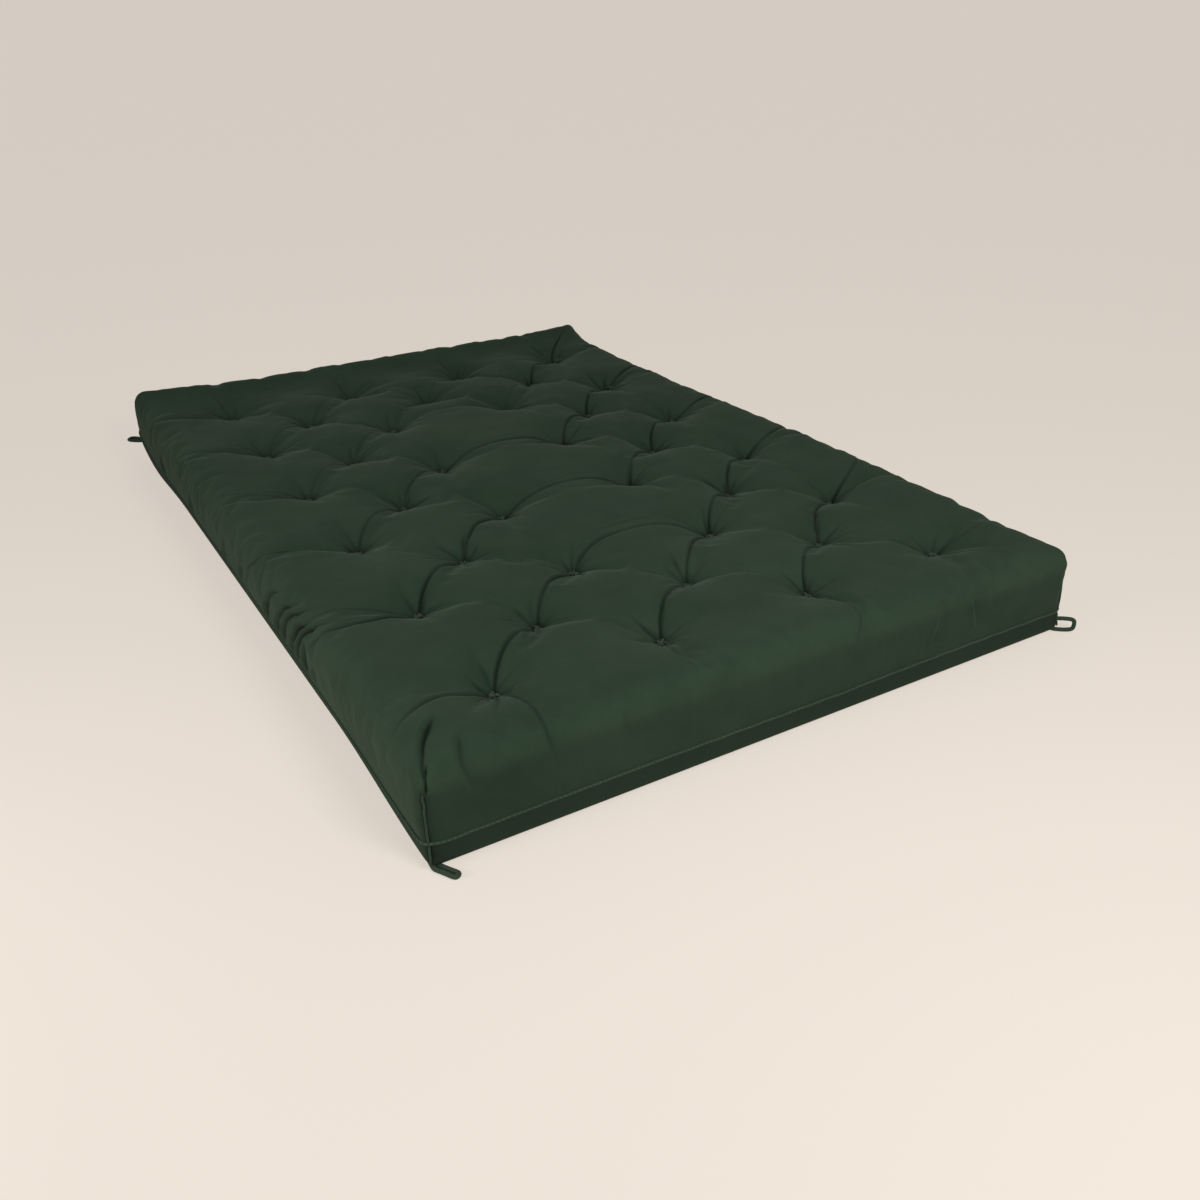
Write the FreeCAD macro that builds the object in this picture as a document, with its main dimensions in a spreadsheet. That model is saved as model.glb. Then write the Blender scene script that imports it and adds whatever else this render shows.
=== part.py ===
import FreeCAD, Part
import math
import os

import Sketcher

# A futon mattress for a double bed, in millimetres, +Z up.
# The origin is the middle of the flat underside, X runs across the bed and Y along it.
# The back end (+Y) lifts off the floor in a short curl, so every layer is a flat slab that
# runs into an arc about one common centre.

SIZES = (
    ("mattress_length", 2000),      # measured along the underside, curl included
    ("mattress_width", 1400),
    ("curl_length", 240),           # the part of the length that lifts at the back
    ("curl_radius", 560),           # underside's radius there
    ("cover_thickness", 1.5),
    ("batt_thickness", 21.6),
    ("batts_below", 3),
    ("batts_above", 3),
    ("foam_thickness", 50),
    ("layer_gap", 0.3),             # room between neighbouring layers, and under the cover
    ("corner_radius", 58),          # vertical corners, in plan
    ("top_edge_radius", 45),
    ("bottom_edge_radius", 22),
    ("seam_height", 52),            # where the two halves of the cover are joined
    ("seam_width", 6),
    ("seam_proud", 3),
    ("corner_seam_width", 4),
    ("corner_seam_low", 14),
    ("corner_seam_top_gap", 34),    # the corner seams stop this far below the top
    ("tuft_pitch", 328),            # from tuft to tuft across the bed
    ("tuft_row_pitch", 155),
    ("tuft_front_margin", 175),
    ("tuft_side_margin", 150),      # the least there may be
    ("bare_middle_from_row", 4),    # from this row to the next size, no tuft on the middle line
    ("bare_middle_to_row", 8),
    ("well_radius", 55),
    ("well_floor_radius", 10),
    ("well_depth", 30),
    ("under_well_radius", 34),
    ("under_well_depth", 15),
    ("knot_radius", 8),
    ("knot_top_radius", 6),
    ("knot_height", 8),
    ("twine_radius", 1.5),
    ("twine_clearance", 0.5),
    ("loop_cord_radius", 4.25),
    ("loop_half_gap", 8),           # half of the free space between a loop's two legs
    ("loop_reach", 50),             # from the rounded corner out to the bend
    ("loop_root", 24),              # how far inside the corner a leg starts before it is cut off
    ("flat_loop_height", 4.5),
    ("upright_loop_height", 17),
    ("front_left_loop_turn", -60),  # degrees from +X
    ("front_right_loop_turn", -38),
    ("back_left_loop_turn", 135),
    ("back_right_loop_turn", 45),
)

# What follows from the driving sizes.
WORKED = (
    ("half_length", "sizes.mattress_length / 2"),
    ("half_width", "sizes.mattress_width / 2"),
    ("height", "2 * (sizes.cover_thickness + sizes.layer_gap) + sizes.foam_thickness"
               " + (sizes.batts_below + sizes.batts_above) * (sizes.batt_thickness + sizes.layer_gap)"),
    ("bend_place", "half_length - sizes.curl_length"),
    ("end_stretch", "sizes.curl_radius / (sizes.curl_radius - height)"),
    ("well_slope", "(sizes.well_radius - sizes.well_floor_radius) / sizes.well_depth"),
    ("under_slope", "(sizes.under_well_radius - sizes.well_floor_radius) / sizes.under_well_depth"),
    ("loop_half_width", "sizes.loop_half_gap + sizes.loop_cord_radius"),
    ("curl_turn", "sizes.curl_length / sizes.curl_radius * 180 / pi"),
)

WELL_OVERSHOOT = 12     # how far a cutting cone runs out past the surface it cuts
BAND_OVERSHOOT = 30     # how far a slab that only cuts or splits runs out past the sides

doc = FreeCAD.newDocument("futon_mattress")


# ---------------------------------------------------------------- the two sheets

def fill_sheet(name, rows):
    sheet = doc.addObject("Spreadsheet::Sheet", name)
    for line, (alias, value) in enumerate(rows, start=1):
        sheet.set(f"A{line}", alias)
        sheet.set(f"B{line}", value)
        sheet.setAlias(f"B{line}", alias)
    doc.recompute()
    return sheet


sizes = fill_sheet("sizes", [(alias, str(value)) for alias, value in SIZES])
worked = fill_sheet("worked", [(alias, "=" + formula) for alias, formula in WORKED])


def bind(thing, **expressions):
    for prop, expression in expressions.items():
        thing.setExpression(prop.replace("__", "."), expression)


# ---------------------------------------------------------------- slabs that follow the curl

def origin_plane(body, role):
    return next(plane for plane in body.Origin.OriginFeatures if plane.Role == role)


def curled_slab(name, low, high, inset, spread="0"):
    """A slab from low to high above the underside, inset from the front, the sides and the
    back end, or spread out past them."""
    body = doc.addObject("PartDesign::Body", name)
    sketch = body.newObject("Sketcher::SketchObject", name + "_side_view")
    sketch.AttachmentSupport = [(origin_plane(body, "YZ_Plane"), "")]
    sketch.MapMode = "FlatFace"

    # A first guess that has the right shape; the constraints below set the sizes.
    front, bend, reach, bottom, top, turn = -1000.0, 800.0, 550.0, 10.0, 170.0, 0.37
    centre = FreeCAD.Vector(bend, reach, 0)
    up = FreeCAD.Vector(0, 0, 1)

    def on_arc(height, angle):
        radius = reach - height
        return FreeCAD.Vector(bend + radius * math.sin(angle), reach - radius * math.cos(angle), 0)

    def arc(height):
        circle = Part.Circle(centre, up, reach - height)
        return Part.ArcOfCircle(circle, -math.pi / 2, -math.pi / 2 + turn)

    sketch.addGeometry([
        Part.LineSegment(FreeCAD.Vector(front, bottom, 0), on_arc(bottom, 0)),
        arc(bottom),
        Part.LineSegment(on_arc(bottom, turn), on_arc(top, turn)),
        arc(top),
        Part.LineSegment(on_arc(top, 0), FreeCAD.Vector(front, top, 0)),
        Part.LineSegment(FreeCAD.Vector(front, top, 0), FreeCAD.Vector(front, bottom, 0)),
    ], False)
    under, under_arc, end, over_arc, over, face = range(6)
    start, stop, middle = 1, 2, 3
    rule = Sketcher.Constraint
    sketch.addConstraint([
        rule("Coincident", under, stop, under_arc, start),
        rule("Coincident", under_arc, stop, end, start),
        rule("Coincident", end, stop, over_arc, stop),
        rule("Coincident", over_arc, start, over, start),
        rule("Coincident", over, stop, face, start),
        rule("Coincident", face, stop, under, start),
        rule("Coincident", under_arc, middle, over_arc, middle),
        rule("Horizontal", under),
        rule("Horizontal", over),
        rule("Vertical", face),
        rule("Vertical", under, stop, under_arc, middle),
        rule("Vertical", over, start, over_arc, middle),
        rule("PointOnObject", under_arc, middle, end),
    ])
    origin = -1
    measures = (
        ("bend", rule("DistanceX", origin, start, under_arc, middle, bend), "worked.bend_place"),
        ("centre", rule("DistanceY", origin, start, under_arc, middle, reach), "sizes.curl_radius"),
        ("front", rule("DistanceX", under, start, origin, start, -front),
         f"worked.half_length - ({inset}) + ({spread})"),
        ("under_radius", rule("Radius", under_arc, reach - bottom), f"sizes.curl_radius - ({low})"),
        ("over_radius", rule("Radius", over_arc, reach - top), f"sizes.curl_radius - ({high})"),
        ("end_turn", rule("Angle", end, math.pi / 2 + turn),
         f"(90 + (sizes.curl_length - ({inset}) * worked.end_stretch + ({spread}))"
         " / sizes.curl_radius * 180 / pi) * 1 deg"),
    )
    for label, constraint, expression in measures:
        number = sketch.addConstraint(constraint)
        sketch.renameConstraint(number, label)
        sketch.setExpression("Constraints." + label, expression)

    pad = body.newObject("PartDesign::Pad", name + "_across")
    pad.Profile = sketch
    pad.Midplane = True
    bind(pad, Length=f"2 * (worked.half_width - ({inset}) + ({spread}))")
    sketch.Visibility = False
    doc.recompute()
    if sketch.solve() != 0 or not sketch.FullyConstrained:
        raise RuntimeError(f"the side view of {name} isn't fully set")
    return body


def round_edges(body, picks, name, radius):
    """Rounds the edges of the body's last feature that picks says yes to."""
    base = body.Tip
    names = [f"Edge{number}" for number, edge in enumerate(base.Shape.Edges, start=1) if picks(edge)]
    rounding = body.newObject("PartDesign::Fillet", name)
    rounding.Base = (base, names)
    bind(rounding, Radius=radius)
    body.Tip = rounding
    doc.recompute()
    return rounding


def height_in_slab(point):
    """How far a point is above the underside, measured square to it."""
    reach = float(sizes.curl_radius)
    if point.y <= float(worked.bend_place):
        return point.z
    return reach - math.hypot(point.y - float(worked.bend_place), reach - point.z)


def mattress_form(name, inset):
    """The whole mattress as one rounded block, inset all round; a negative inset is proud."""
    body = curled_slab(name, inset, f"worked.height - ({inset})", inset)
    heights = [height_in_slab(vertex.Point) for vertex in body.Tip.Shape.Vertexes]
    low, high = min(heights), max(heights)
    near = 0.01

    def rises(edge):
        ends = [height_in_slab(vertex.Point) for vertex in edge.Vertexes]
        return max(ends) - min(ends) > (high - low) / 2

    def outline_at(level):
        """Picks the edges all round a face, but not the line across it where the curl starts."""
        def picks(edge):
            ends = [vertex.Point for vertex in edge.Vertexes]
            across_the_bend = all(abs(point.y - float(worked.bend_place)) < near for point in ends)
            return not across_the_bend and all(abs(height_in_slab(point) - level) < near for point in ends)
        return picks

    round_edges(body, rises, name + "_corners", f"sizes.corner_radius - ({inset})")
    round_edges(body, outline_at(high), name + "_top_edge", f"sizes.top_edge_radius - ({inset})")
    round_edges(body, outline_at(low), name + "_bottom_edge", f"sizes.bottom_edge_radius - ({inset})")
    return body


# ---------------------------------------------------------------- where the tufts are

def tuft_places():
    """Rows of tufts across the bed; every other row is shifted half a pitch and has one less.
    A stretch down the middle line has none."""
    pitch = float(sizes.tuft_pitch)
    across = int((float(sizes.mattress_width) - 2 * float(sizes.tuft_side_margin)) // pitch) + 1
    flat = float(sizes.mattress_length) - float(sizes.curl_length) - float(sizes.tuft_front_margin)
    rows = int(flat // float(sizes.tuft_row_pitch)) + 1
    bare = range(int(sizes.bare_middle_from_row), int(sizes.bare_middle_to_row) + 1)
    for row in range(rows):
        count = across - row % 2
        for place in range(count):
            column = place - (count - 1) / 2
            if column != 0 or row + 1 not in bare:
                yield row, column


TUFTS = list(tuft_places())


def stand_at_tuft(thing, row, column, height):
    bind(
        thing,
        Placement__Base__x=f"({column}) * sizes.tuft_pitch",
        Placement__Base__y=f"sizes.tuft_front_margin - worked.half_length + {row} * sizes.tuft_row_pitch",
        Placement__Base__z=height,
    )


def at_every_tuft(name, kind, height, **expressions):
    """One primitive at each tuft, gathered in a compound."""
    pieces = []
    for number, (row, column) in enumerate(TUFTS, start=1):
        piece = doc.addObject(kind, f"{name}_{number}")
        bind(piece, **expressions)
        stand_at_tuft(piece, row, column, height)
        pieces.append(piece)
    group = doc.addObject("Part::Compound", name)
    group.Links = pieces
    return group


def boolean(kind, name, base, tool):
    result = doc.addObject(kind, name)
    result.Base = base
    result.Tool = tool
    return result


def cut(name, base, tool):
    return boolean("Part::Cut", name, base, tool)


def common(name, base, tool):
    return boolean("Part::Common", name, base, tool)


def gathered(name, *pieces):
    group = doc.addObject("Part::Compound", name)
    group.Links = list(pieces)
    return group


def well_cones(name, inset):
    """Cones that cut the tufts' wells, grown so that their walls lie inset from the cover's."""
    slope, under = "worked.well_slope", "worked.under_slope"
    shift = f"({inset}) * sqrt(1 + {slope} ^ 2)"
    under_shift = f"({inset}) * sqrt(1 + {under} ^ 2)"
    top = at_every_tuft(
        name + "_top", "Part::Cone", f"worked.height - sizes.well_depth - ({inset})",
        Radius1=f"sizes.well_floor_radius + {shift} - ({inset}) * {slope}",
        Radius2=f"sizes.well_floor_radius + {shift} + {slope} * (sizes.well_depth + {WELL_OVERSHOOT})",
        Height=f"sizes.well_depth + {WELL_OVERSHOOT} + ({inset})",
    )
    bottom = at_every_tuft(
        name + "_bottom", "Part::Cone", f"-{WELL_OVERSHOOT}",
        Radius1=f"sizes.well_floor_radius + {under_shift} + {under} * (sizes.under_well_depth + {WELL_OVERSHOOT})",
        Radius2=f"sizes.well_floor_radius + {under_shift} - ({inset}) * {under}",
        Height=f"sizes.under_well_depth + {WELL_OVERSHOOT} + ({inset})",
    )
    return gathered(name, top, bottom)


# ---------------------------------------------------------------- the cover

NO_INSET = "0"
LINING = "sizes.cover_thickness"
FILLING = "sizes.cover_thickness + sizes.layer_gap"

outside = mattress_form("outside", NO_INSET)
lining = mattress_form("lining", LINING)
filling = mattress_form("filling", FILLING)
proud = mattress_form("proud", "-sizes.seam_proud")

twine_holes = at_every_tuft(
    "twine_holes", "Part::Cylinder", f"-{WELL_OVERSHOOT}",
    Radius="sizes.twine_radius + sizes.twine_clearance",
    Height=f"worked.height + {2 * WELL_OVERSHOOT}",
)
outside_tufted = cut("outside_tufted", outside, gathered("outside_wells", well_cones("outer_cones", NO_INSET),
                                                         twine_holes))
lining_tufted = cut("lining_tufted", lining, well_cones("lining_cones", LINING))
cover = cut("cover", outside_tufted, lining_tufted)

above_seam = curled_slab("above_seam", "sizes.seam_height", f"worked.height + {WELL_OVERSHOOT}",
                         NO_INSET, f"{BAND_OVERSHOOT}")
below_seam = curled_slab("below_seam", f"-{WELL_OVERSHOOT}", "sizes.seam_height",
                         NO_INSET, f"{BAND_OVERSHOOT}")
cover_top_panel = common("cover_top_panel", cover, above_seam)
cover_bottom_panel = common("cover_bottom_panel", cover, below_seam)

# The seam all round: the two panels' edges, turned and stitched into one ridge.
seam_band = curled_slab("seam_band", "sizes.seam_height - sizes.seam_width / 2",
                        "sizes.seam_height + sizes.seam_width / 2", NO_INSET, f"{BAND_OVERSHOOT}")
side_seam = cut("side_seam", common("seam_block", proud, seam_band), outside)


# ---------------------------------------------------------------- what sits at the corners

def swing_with_the_end(name, piece):
    """Turns a piece that was placed against an upright end at the bend onto the curled end."""
    group = gathered(name, piece)
    turn = "worked.curl_turn"
    group.Placement = FreeCAD.Placement(FreeCAD.Vector(), FreeCAD.Rotation(FreeCAD.Vector(1, 0, 0), 1))
    bind(
        group,
        Placement__Rotation__Angle=f"{turn} * 1 deg",
        Placement__Base__y=f"worked.bend_place * (1 - cos({turn} * 1 deg))"
                           f" + sizes.curl_radius * sin({turn} * 1 deg)",
        Placement__Base__z=f"sizes.curl_radius * (1 - cos({turn} * 1 deg))"
                           f" - worked.bend_place * sin({turn} * 1 deg)",
    )
    return group


CORNERS = (
    ("front_left", -1, -1),
    ("front_right", 1, -1),
    ("back_left", -1, 1),
    ("back_right", 1, 1),
)


def corner_axis(side, end):
    """The centre of a corner's rounding, in plan; a back corner's before the curl."""
    across = f"{side} * (worked.half_width - sizes.corner_radius)"
    along = "worked.bend_place - sizes.corner_radius" if end > 0 else "sizes.corner_radius - worked.half_length"
    return across, along


def corner_plate(name, side, end):
    """A thin upright plate that runs out through a corner on its diagonal."""
    plate = doc.addObject("Part::Box", name + "_plate")
    across, along = corner_axis(side, end)
    turn = math.degrees(math.atan2(end, side))
    plate.Placement.Rotation = FreeCAD.Rotation(FreeCAD.Vector(0, 0, 1), turn)
    half = "sizes.corner_seam_width / 2"
    bind(
        plate,
        Length=f"sizes.corner_radius + {BAND_OVERSHOOT}",
        Width="sizes.corner_seam_width",
        Height="worked.height - sizes.corner_seam_low - sizes.corner_seam_top_gap",
        Placement__Base__x=f"{across} + {half} * {math.sin(math.radians(turn)):.6f}",
        Placement__Base__y=f"{along} - {half} * {math.cos(math.radians(turn)):.6f}",
        Placement__Base__z="sizes.corner_seam_low",
    )
    return swing_with_the_end(name + "_swung_plate", plate) if end > 0 else plate


corner_plates = gathered("corner_plates", *[corner_plate(*corner) for corner in CORNERS])
corner_ribs = cut("corner_ribs", common("corner_blocks", corner_plates, proud), outside)
corner_seams = cut("corner_seams", corner_ribs, side_seam)


def loop_cord(name):
    """A U of round fabric cord that starts inside the corner and reaches out along +X."""
    body = doc.addObject("PartDesign::Body", name + "_cord")
    path = body.newObject("Sketcher::SketchObject", name + "_path")
    path.AttachmentSupport = [(origin_plane(body, "XY_Plane"), "")]
    path.MapMode = "FlatFace"
    half, reach = float(worked.loop_half_width), float(sizes.loop_reach)
    path.addGeometry([
        Part.LineSegment(FreeCAD.Vector(0, -half, 0), FreeCAD.Vector(reach, -half, 0)),
        Part.ArcOfCircle(Part.Circle(FreeCAD.Vector(reach, 0, 0), FreeCAD.Vector(0, 0, 1), half),
                         -math.pi / 2, math.pi / 2),
        Part.LineSegment(FreeCAD.Vector(reach, half, 0), FreeCAD.Vector(0, half, 0)),
    ], False)
    rule = Sketcher.Constraint
    path.addConstraint([
        rule("Tangent", 0, 2, 1, 1),
        rule("Tangent", 1, 2, 2, 1),
        rule("Horizontal", 0),
        rule("Horizontal", 2),
        rule("PointOnObject", 0, 1, -2),
        rule("PointOnObject", 2, 2, -2),
        rule("PointOnObject", 1, 3, -1),
    ])
    for label, constraint, expression in (
        ("half_width", rule("Radius", 1, half), "worked.loop_half_width"),
        ("reach", rule("DistanceX", 0, 1, 0, 2, reach), "sizes.loop_root + sizes.loop_reach - worked.loop_half_width"),
    ):
        number = path.addConstraint(constraint)
        path.renameConstraint(number, label)
        path.setExpression("Constraints." + label, expression)
    ring = body.newObject("Sketcher::SketchObject", name + "_section")
    ring.AttachmentSupport = [(origin_plane(body, "YZ_Plane"), "")]
    ring.MapMode = "FlatFace"
    radius = float(sizes.loop_cord_radius)
    ring.addGeometry(Part.Circle(FreeCAD.Vector(-half, 0, 0), FreeCAD.Vector(0, 0, 1), radius), False)
    ring.addConstraint(rule("PointOnObject", 0, 3, -1))
    for label, constraint, expression in (
        ("radius", rule("Radius", 0, radius), "sizes.loop_cord_radius"),
        ("offset", rule("DistanceX", 0, 3, -1, 1, half), "worked.loop_half_width"),
    ):
        number = ring.addConstraint(constraint)
        ring.renameConstraint(number, label)
        ring.setExpression("Constraints." + label, expression)
    doc.recompute()
    pipe = body.newObject("PartDesign::AdditivePipe", name + "_sweep")
    pipe.Profile = ring
    pipe.Spine = path
    doc.recompute()
    return body


def corner_loop(name, side, end):
    """A loop on the corner's lower end, cut off flush with the corner seam that holds it."""
    cord = loop_cord(name)
    flat = name == "front_left"
    turn = float(sizes.get(f"{name}_loop_turn"))
    lean = FreeCAD.Rotation(FreeCAD.Vector(1, 0, 0), 0 if flat else 90)
    cord.Placement.Rotation = FreeCAD.Rotation(FreeCAD.Vector(0, 0, 1), turn).multiply(lean)
    across, along = corner_axis(side, end)
    # The legs start on the diagonal, loop_root short of the rounded corner's outermost line.
    out = "sizes.corner_radius / sqrt(2)"
    back_x = f"sizes.loop_root * {math.cos(math.radians(turn)):.6f}"
    back_y = f"sizes.loop_root * {math.sin(math.radians(turn)):.6f}"
    bind(
        cord,
        Placement__Base__x=f"{across} + {side} * {out} - {back_x}",
        Placement__Base__y=f"{along} + {end} * {out} - {back_y}",
        Placement__Base__z="sizes.flat_loop_height" if flat else "sizes.upright_loop_height",
    )
    held = swing_with_the_end(name + "_swung_cord", cord) if end > 0 else cord
    trimmed = cut(name + "_trimmed", held, outside)
    return cut(name + "_loop", cut(name + "_clear", trimmed, side_seam), corner_seams)


loops = [corner_loop(*corner) for corner in CORNERS]


# ---------------------------------------------------------------- the filling

filling_tufted = cut("filling_tufted", filling, gathered("filling_wells", well_cones("filling_cones", FILLING),
                                                         twine_holes))


def filling_layers():
    """Cotton batts below and above one sheet of foam, from the floor up."""
    batt, gap = "sizes.batt_thickness", "sizes.layer_gap"
    base = "(sizes.cover_thickness + sizes.layer_gap)"
    below, above = int(float(sizes.batts_below)), int(float(sizes.batts_above))
    for number in range(below):
        low = f"{base} + {number} * ({batt} + {gap})"
        yield f"lower_batt_{number + 1}", low, f"{low} + {batt}"
    foam = f"{base} + {below} * ({batt} + {gap})"
    yield "foam_core", foam, f"{foam} + sizes.foam_thickness"
    for number in range(above):
        low = f"{foam} + sizes.foam_thickness + {gap} + {number} * ({batt} + {gap})"
        yield f"upper_batt_{number + 1}", low, f"{low} + {batt}"


layers = []
for layer_name, layer_low, layer_high in filling_layers():
    block = curled_slab(layer_name + "_slab", layer_low, layer_high, NO_INSET, f"{BAND_OVERSHOOT}")
    layers.append(common(layer_name, filling_tufted, block))


# ---------------------------------------------------------------- the tufts

tuft_twines = at_every_tuft(
    "tuft_twines", "Part::Cylinder", "sizes.under_well_depth",
    Radius="sizes.twine_radius",
    Height="worked.height - sizes.well_depth - sizes.under_well_depth",
)
top_tufts = at_every_tuft(
    "top_tufts", "Part::Cone", "worked.height - sizes.well_depth",
    Radius1="sizes.knot_radius",
    Radius2="sizes.knot_top_radius",
    Height="sizes.knot_height",
)
bottom_tufts = at_every_tuft(
    "bottom_tufts", "Part::Cone", "sizes.under_well_depth - sizes.knot_height",
    Radius1="sizes.knot_top_radius",
    Radius2="sizes.knot_radius",
    Height="sizes.knot_height",
)


# ---------------------------------------------------------------- check and write

PIECES = [cover_top_panel, cover_bottom_panel, side_seam, corner_seams, *loops, *layers,
          tuft_twines, top_tufts, bottom_tufts]

doc.recompute()
for thing in doc.Objects:
    if "Invalid" in thing.State or "Error" in thing.State:
        raise RuntimeError(f"{thing.Label} failed: {thing.State}")
for piece in PIECES:
    if piece.Shape.isNull() or not piece.Shape.isValid() or not piece.Shape.Solids:
        raise RuntimeError(f"{piece.Label} has no valid shape")

os.makedirs("parts", exist_ok=True)
for piece in PIECES:
    piece.Shape.exportStep(f"parts/{piece.Label}.step")
    box = piece.Shape.BoundBox
    print(f"{piece.Label:20s} solids {len(piece.Shape.Solids):3d}  volume {piece.Shape.Volume / 1e3:10.1f} cm3"
          f"  {box.XLength:7.1f} x {box.YLength:7.1f} x {box.ZLength:6.1f}")
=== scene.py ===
# %% [markdown]
# # A tufted futon mattress
# The construction comes packed as a fixed frame: its nodes lie where the real pieces lie, in metres.
# Everything below dresses that frame. The cover is modelled as cloth over a full filling, the seams
# and the tufts are laid on it, and the materials are built from nodes.

# %% Load the frame
import math

import bmesh
import bpy
import numpy as np
from mathutils import Euler, Matrix, Vector
from mathutils.bvhtree import BVHTree


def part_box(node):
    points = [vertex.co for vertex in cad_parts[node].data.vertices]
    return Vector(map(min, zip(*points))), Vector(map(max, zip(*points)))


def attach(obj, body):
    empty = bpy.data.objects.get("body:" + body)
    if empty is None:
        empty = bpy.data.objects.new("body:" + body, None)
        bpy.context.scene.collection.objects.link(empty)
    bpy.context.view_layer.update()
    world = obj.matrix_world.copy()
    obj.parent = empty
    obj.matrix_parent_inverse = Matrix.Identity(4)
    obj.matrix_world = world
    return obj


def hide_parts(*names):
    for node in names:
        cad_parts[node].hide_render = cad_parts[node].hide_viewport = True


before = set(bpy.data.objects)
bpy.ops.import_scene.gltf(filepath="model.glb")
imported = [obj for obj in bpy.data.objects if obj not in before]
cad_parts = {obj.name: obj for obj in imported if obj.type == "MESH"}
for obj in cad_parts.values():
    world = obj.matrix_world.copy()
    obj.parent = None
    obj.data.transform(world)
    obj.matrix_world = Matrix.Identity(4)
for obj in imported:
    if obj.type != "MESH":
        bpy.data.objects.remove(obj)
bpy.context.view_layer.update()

# %% [markdown]
# ## Sizes that come from the frame
# A size read from a node stays right when the construction changes. The mattress lies flat except at
# its back end, which lifts in a short curl. It is simplest to model it flat and to bend it last, so
# every place below is first given as if the back end still lay on the floor.

# %% Read the sizes
MM = 0.001
CURL_LENGTH = 240 * MM
CURL_RADIUS = 560 * MM

panel_low, panel_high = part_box("cover_top_panel")
seam_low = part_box("side_seam")[0]
twine_low, twine_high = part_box("tuft_twines")

half_width = panel_high.x
half_length = -panel_low.y
bend_place = half_length - CURL_LENGTH
seam_height = seam_low.z + 3 * MM
panel_points = np.array([v.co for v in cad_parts["cover_top_panel"].data.vertices])
height = float(panel_points[panel_points[:, 1] < 0, 2].max())
well_depth = height - twine_high.z
print(f"half width {half_width:.3f}, half length {half_length:.3f}")
print(f"height {height:.3f}, seam at {seam_height:.3f}")


# %% [markdown]
# ## Where the tufts are
# All the knots of one side share a node, so the node's vertices are gathered into clumps. A tuft is
# named by its row from the front and by half steps from the middle line, like a chess square.

# %% Find the tufts
def clump_centres(points, reach):
    """The middle of each clump of points, in plan, where clumps are further apart than reach."""
    clumps = []
    for point in points:
        for clump in clumps:
            if (clump[0] - point).length < reach:
                clump.append(point)
                break
        else:
            clumps.append([point])
    return [(Vector(map(min, *clump)) + Vector(map(max, *clump))) / 2 for clump in clumps]


knot_points = [v.co.copy().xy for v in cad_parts["top_tufts"].data.vertices]
centres = clump_centres(knot_points, 40 * MM)
row_lines = sorted({round(c.y, 3) for c in centres})
row_step = (row_lines[-1] - row_lines[0]) / (len(row_lines) - 1)
half_step = min(abs(c.x) for c in centres if abs(c.x) > 10 * MM)
tufts = {(round((c.y - row_lines[0]) / row_step), round(c.x / half_step)): c for c in centres}
print(len(tufts), "tufts in", len(row_lines), "rows")
print(f"rows {row_step:.3f} apart, half step {half_step:.3f}")


# %% [markdown]
# ## A first block of cloth
# The cover starts as one closed block: a cube cut into even cells along each axis. One row of cuts is
# moved to the seam's height, so that the two panels can part there later. Each vertex also remembers
# where it would lie if the sides were folded out flat around the top, because folds run over the edge
# and down the sides and have to be drawn in one plane.

# %% Build the block
CELLS = (108, 154, 16)
SEAM_ROW = 4
CORNER_DROP = 0.6  # the part of its drop that a corner vertex keeps along each side


def cut_along(bm, axis, cells):
    """Cuts every edge that runs along one axis into cells."""
    edges = [e for e in bm.edges if abs((e.verts[0].co - e.verts[1].co)[axis]) > 1e-6]
    bmesh.ops.subdivide_edges(bm, edges=edges, cuts=cells - 1, use_grid_fill=True)


def make_block():
    bm = bmesh.new()
    bmesh.ops.create_cube(bm, size=1)
    for axis, cells in enumerate(CELLS):
        cut_along(bm, axis, cells)
    bmesh.ops.translate(bm, verts=bm.verts, vec=(0, 0, 0.5))
    bmesh.ops.scale(bm, verts=bm.verts, vec=(2 * half_width, 2 * half_length, 1))
    mesh = bpy.data.meshes.new("block")
    bm.to_mesh(mesh)
    bm.free()
    return mesh


def get_points(mesh):
    points = np.empty(len(mesh.vertices) * 3)
    mesh.vertices.foreach_get("co", points)
    return points.reshape(-1, 3)


def set_points(mesh, points):
    mesh.vertices.foreach_set("co", np.ascontiguousarray(points, dtype=np.float32).ravel())
    mesh.update()


def get_normals(mesh):
    normals = np.empty(len(mesh.vertices) * 3)
    mesh.vertices.foreach_get("normal", normals)
    return normals.reshape(-1, 3)


def add_values(mesh, name, values):
    attribute = mesh.attributes.get(name) or mesh.attributes.new(name, "FLOAT", "POINT")
    attribute.data.foreach_set("value", np.ascontiguousarray(values, dtype=np.float32))


def get_values(mesh, name):
    values = np.empty(len(mesh.vertices))
    mesh.attributes[name].data.foreach_get("value", values)
    return values


block = make_block()
points = get_points(block)
level = np.round(points[:, 2] * CELLS[2])
points[:, 2] = np.where(level <= SEAM_ROW, level / SEAM_ROW * seam_height,
                        seam_height + (level - SEAM_ROW) / (CELLS[2] - SEAM_ROW) * (height - seam_height))
drop = height - points[:, 2]
on_side = np.abs(points[:, 0]) > half_width - 1e-5
on_end = np.abs(points[:, 1]) > half_length - 1e-5
both = np.where(on_side & on_end, CORNER_DROP, 1.0)
folded_x = points[:, 0] + np.sign(points[:, 0]) * on_side * drop * both
folded_y = points[:, 1] + np.sign(points[:, 1]) * on_end * drop * both
add_values(block, "folded_x", folded_x)
add_values(block, "folded_y", folded_y)
for face in block.polygons:
    face.material_index = int(points[list(face.vertices), 2].mean() < seam_height)
print("block:", len(block.vertices), "vertices")


# %% [markdown]
# ## From block to mattress
# A full futon has no straight edge: the top rolls over into the sides, the sides are widest a little
# above their middle, and they tuck in towards the floor. Each vertex near the outside is moved from
# the block onto a rounded corner; then the lower part of each side is drawn in.

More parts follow.
